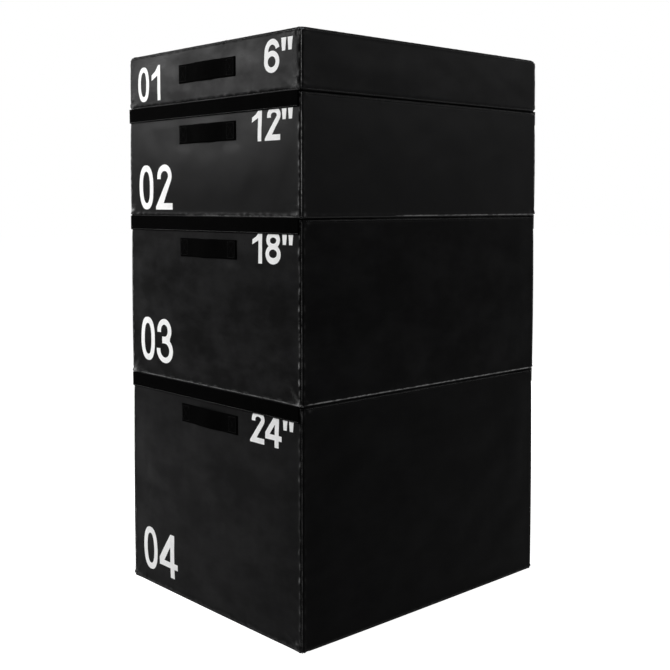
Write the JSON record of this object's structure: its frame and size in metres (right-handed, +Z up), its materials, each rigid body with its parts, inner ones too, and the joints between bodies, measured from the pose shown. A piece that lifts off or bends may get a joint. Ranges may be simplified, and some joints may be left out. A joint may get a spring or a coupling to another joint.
{
  "type": "plyo box set",
  "caption": "Stack of black vinyl-covered foam jump boxes of rising height, joined by hook-and-loop flaps, with webbing handles and zipped covers.",
  "frame": {"origin": "on the floor, under the middle of the stack", "axes": "+Z up the stack, -Y out of the numbered fronts, +X to the right of someone who faces the fronts"},
  "size_m": [0.762, 0.9394, 1.524],
  "materials": {
    "vinyl": "satin",
    "foam": "matte",
    "webbing": "matte",
    "hook_tape": "matte",
    "loop_tape": "matte",
    "zip_tape": "matte",
    "zip_coil": "satin",
    "zip_metal": "satin"
  },
  "bodies": {
    "box_04": {"foam_core_04": "foam", "cover_top_04": "vinyl", "cover_bottom_04": "vinyl", "cover_front_04": "vinyl", "cover_rear_04": "vinyl", "cover_sides_04": "vinyl", "handle_front_04": "webbing", "handle_rear_04": "webbing", "zip_tapes_04": "zip_tape", "zip_coil_04": "zip_coil", "loop_strips_04": "loop_tape"},
    "slider_04": {"zip_slider_04": "zip_metal"},
    "pull_04": {"zip_pull_04": "zip_metal"},
    "box_03": {"foam_core_03": "foam", "cover_top_03": "vinyl", "cover_bottom_03": "vinyl", "cover_front_03": "vinyl", "cover_rear_03": "vinyl", "cover_sides_03": "vinyl", "handle_front_03": "webbing", "handle_rear_03": "webbing", "zip_tapes_03": "zip_tape", "zip_coil_03": "zip_coil", "flap_hems_03": "vinyl", "loop_strips_03": "loop_tape"},
    "flap_front_03": {"hook_flap_front_03": "hook_tape"},
    "flap_rear_03": {"hook_flap_rear_03": "hook_tape"},
    "slider_03": {"zip_slider_03": "zip_metal"},
    "pull_03": {"zip_pull_03": "zip_metal"},
    "box_02": {"foam_core_02": "foam", "cover_top_02": "vinyl", "cover_bottom_02": "vinyl", "cover_front_02": "vinyl", "cover_rear_02": "vinyl", "cover_sides_02": "vinyl", "handle_front_02": "webbing", "handle_rear_02": "webbing", "zip_tapes_02": "zip_tape", "zip_coil_02": "zip_coil", "flap_hems_02": "vinyl", "loop_strips_02": "loop_tape"},
    "flap_front_02": {"hook_flap_front_02": "hook_tape"},
    "flap_rear_02": {"hook_flap_rear_02": "hook_tape"},
    "slider_02": {"zip_slider_02": "zip_metal"},
    "pull_02": {"zip_pull_02": "zip_metal"},
    "box_01": {"foam_core_01": "foam", "cover_top_01": "vinyl", "cover_bottom_01": "vinyl", "cover_front_01": "vinyl", "cover_rear_01": "vinyl", "cover_sides_01": "vinyl", "handle_front_01": "webbing", "handle_rear_01": "webbing", "zip_tapes_01": "zip_tape", "zip_coil_01": "zip_coil", "flap_hems_01": "vinyl"},
    "flap_front_01": {"hook_flap_front_01": "hook_tape"},
    "flap_rear_01": {"hook_flap_rear_01": "hook_tape"},
    "slider_01": {"zip_slider_01": "zip_metal"},
    "pull_01": {"zip_pull_01": "zip_metal"}
  },
  "joints": [
    {"name": "zip_run_04", "type": "slide", "parent": "box_04", "child": "slider_04", "axis": [-1, 0, 0], "range_m": [0, 0.605]},
    {"name": "pull_turn_04", "type": "hinge", "parent": "slider_04", "child": "pull_04", "pos_m": [0.3028, 0.4607, 0.028], "axis": [0, 0, -1], "range_deg": [0, 180]},
    {"name": "lift_box_03", "type": "slide", "parent": "box_04", "child": "box_03", "axis": [0, 0, 1], "range_m": [0, 0.25]},
    {"name": "peel_front_03", "type": "hinge", "parent": "box_03", "child": "flap_front_03", "pos_m": [0, -0.46, 0.6106], "axis": [-1, 0, 0], "range_deg": [0, 150]},
    {"name": "peel_rear_03", "type": "hinge", "parent": "box_03", "child": "flap_rear_03", "pos_m": [0, 0.46, 0.6106], "axis": [1, 0, 0], "range_deg": [0, 150]},
    {"name": "zip_run_03", "type": "slide", "parent": "box_03", "child": "slider_03", "axis": [-1, 0, 0], "range_m": [0, 0.605]},
    {"name": "pull_turn_03", "type": "hinge", "parent": "slider_03", "child": "pull_03", "pos_m": [0.3028, 0.4607, 0.6376], "axis": [0, 0, -1], "range_deg": [0, 180]},
    {"name": "lift_box_02", "type": "slide", "parent": "box_03", "child": "box_02", "axis": [0, 0, 1], "range_m": [0, 0.25]},
    {"name": "peel_front_02", "type": "hinge", "parent": "box_02", "child": "flap_front_02", "pos_m": [0, -0.46, 1.0678], "axis": [-1, 0, 0], "range_deg": [0, 150]},
    {"name": "peel_rear_02", "type": "hinge", "parent": "box_02", "child": "flap_rear_02", "pos_m": [0, 0.46, 1.0678], "axis": [1, 0, 0], "range_deg": [0, 150]},
    {"name": "zip_run_02", "type": "slide", "parent": "box_02", "child": "slider_02", "axis": [-1, 0, 0], "range_m": [0, 0.605]},
    {"name": "pull_turn_02", "type": "hinge", "parent": "slider_02", "child": "pull_02", "pos_m": [0.3028, 0.4607, 1.0948], "axis": [0, 0, -1], "range_deg": [0, 180]},
    {"name": "lift_box_01", "type": "slide", "parent": "box_02", "child": "box_01", "axis": [0, 0, 1], "range_m": [0, 0.25]},
    {"name": "peel_front_01", "type": "hinge", "parent": "box_01", "child": "flap_front_01", "pos_m": [0, -0.46, 1.3726], "axis": [-1, 0, 0], "range_deg": [0, 150]},
    {"name": "peel_rear_01", "type": "hinge", "parent": "box_01", "child": "flap_rear_01", "pos_m": [0, 0.46, 1.3726], "axis": [1, 0, 0], "range_deg": [0, 150]},
    {"name": "zip_run_01", "type": "slide", "parent": "box_01", "child": "slider_01", "axis": [-1, 0, 0], "range_m": [0, 0.605]},
    {"name": "pull_turn_01", "type": "hinge", "parent": "slider_01", "child": "pull_01", "pos_m": [0.3028, 0.4607, 1.3996], "axis": [0, 0, -1], "range_deg": [0, 180]}
  ]
}
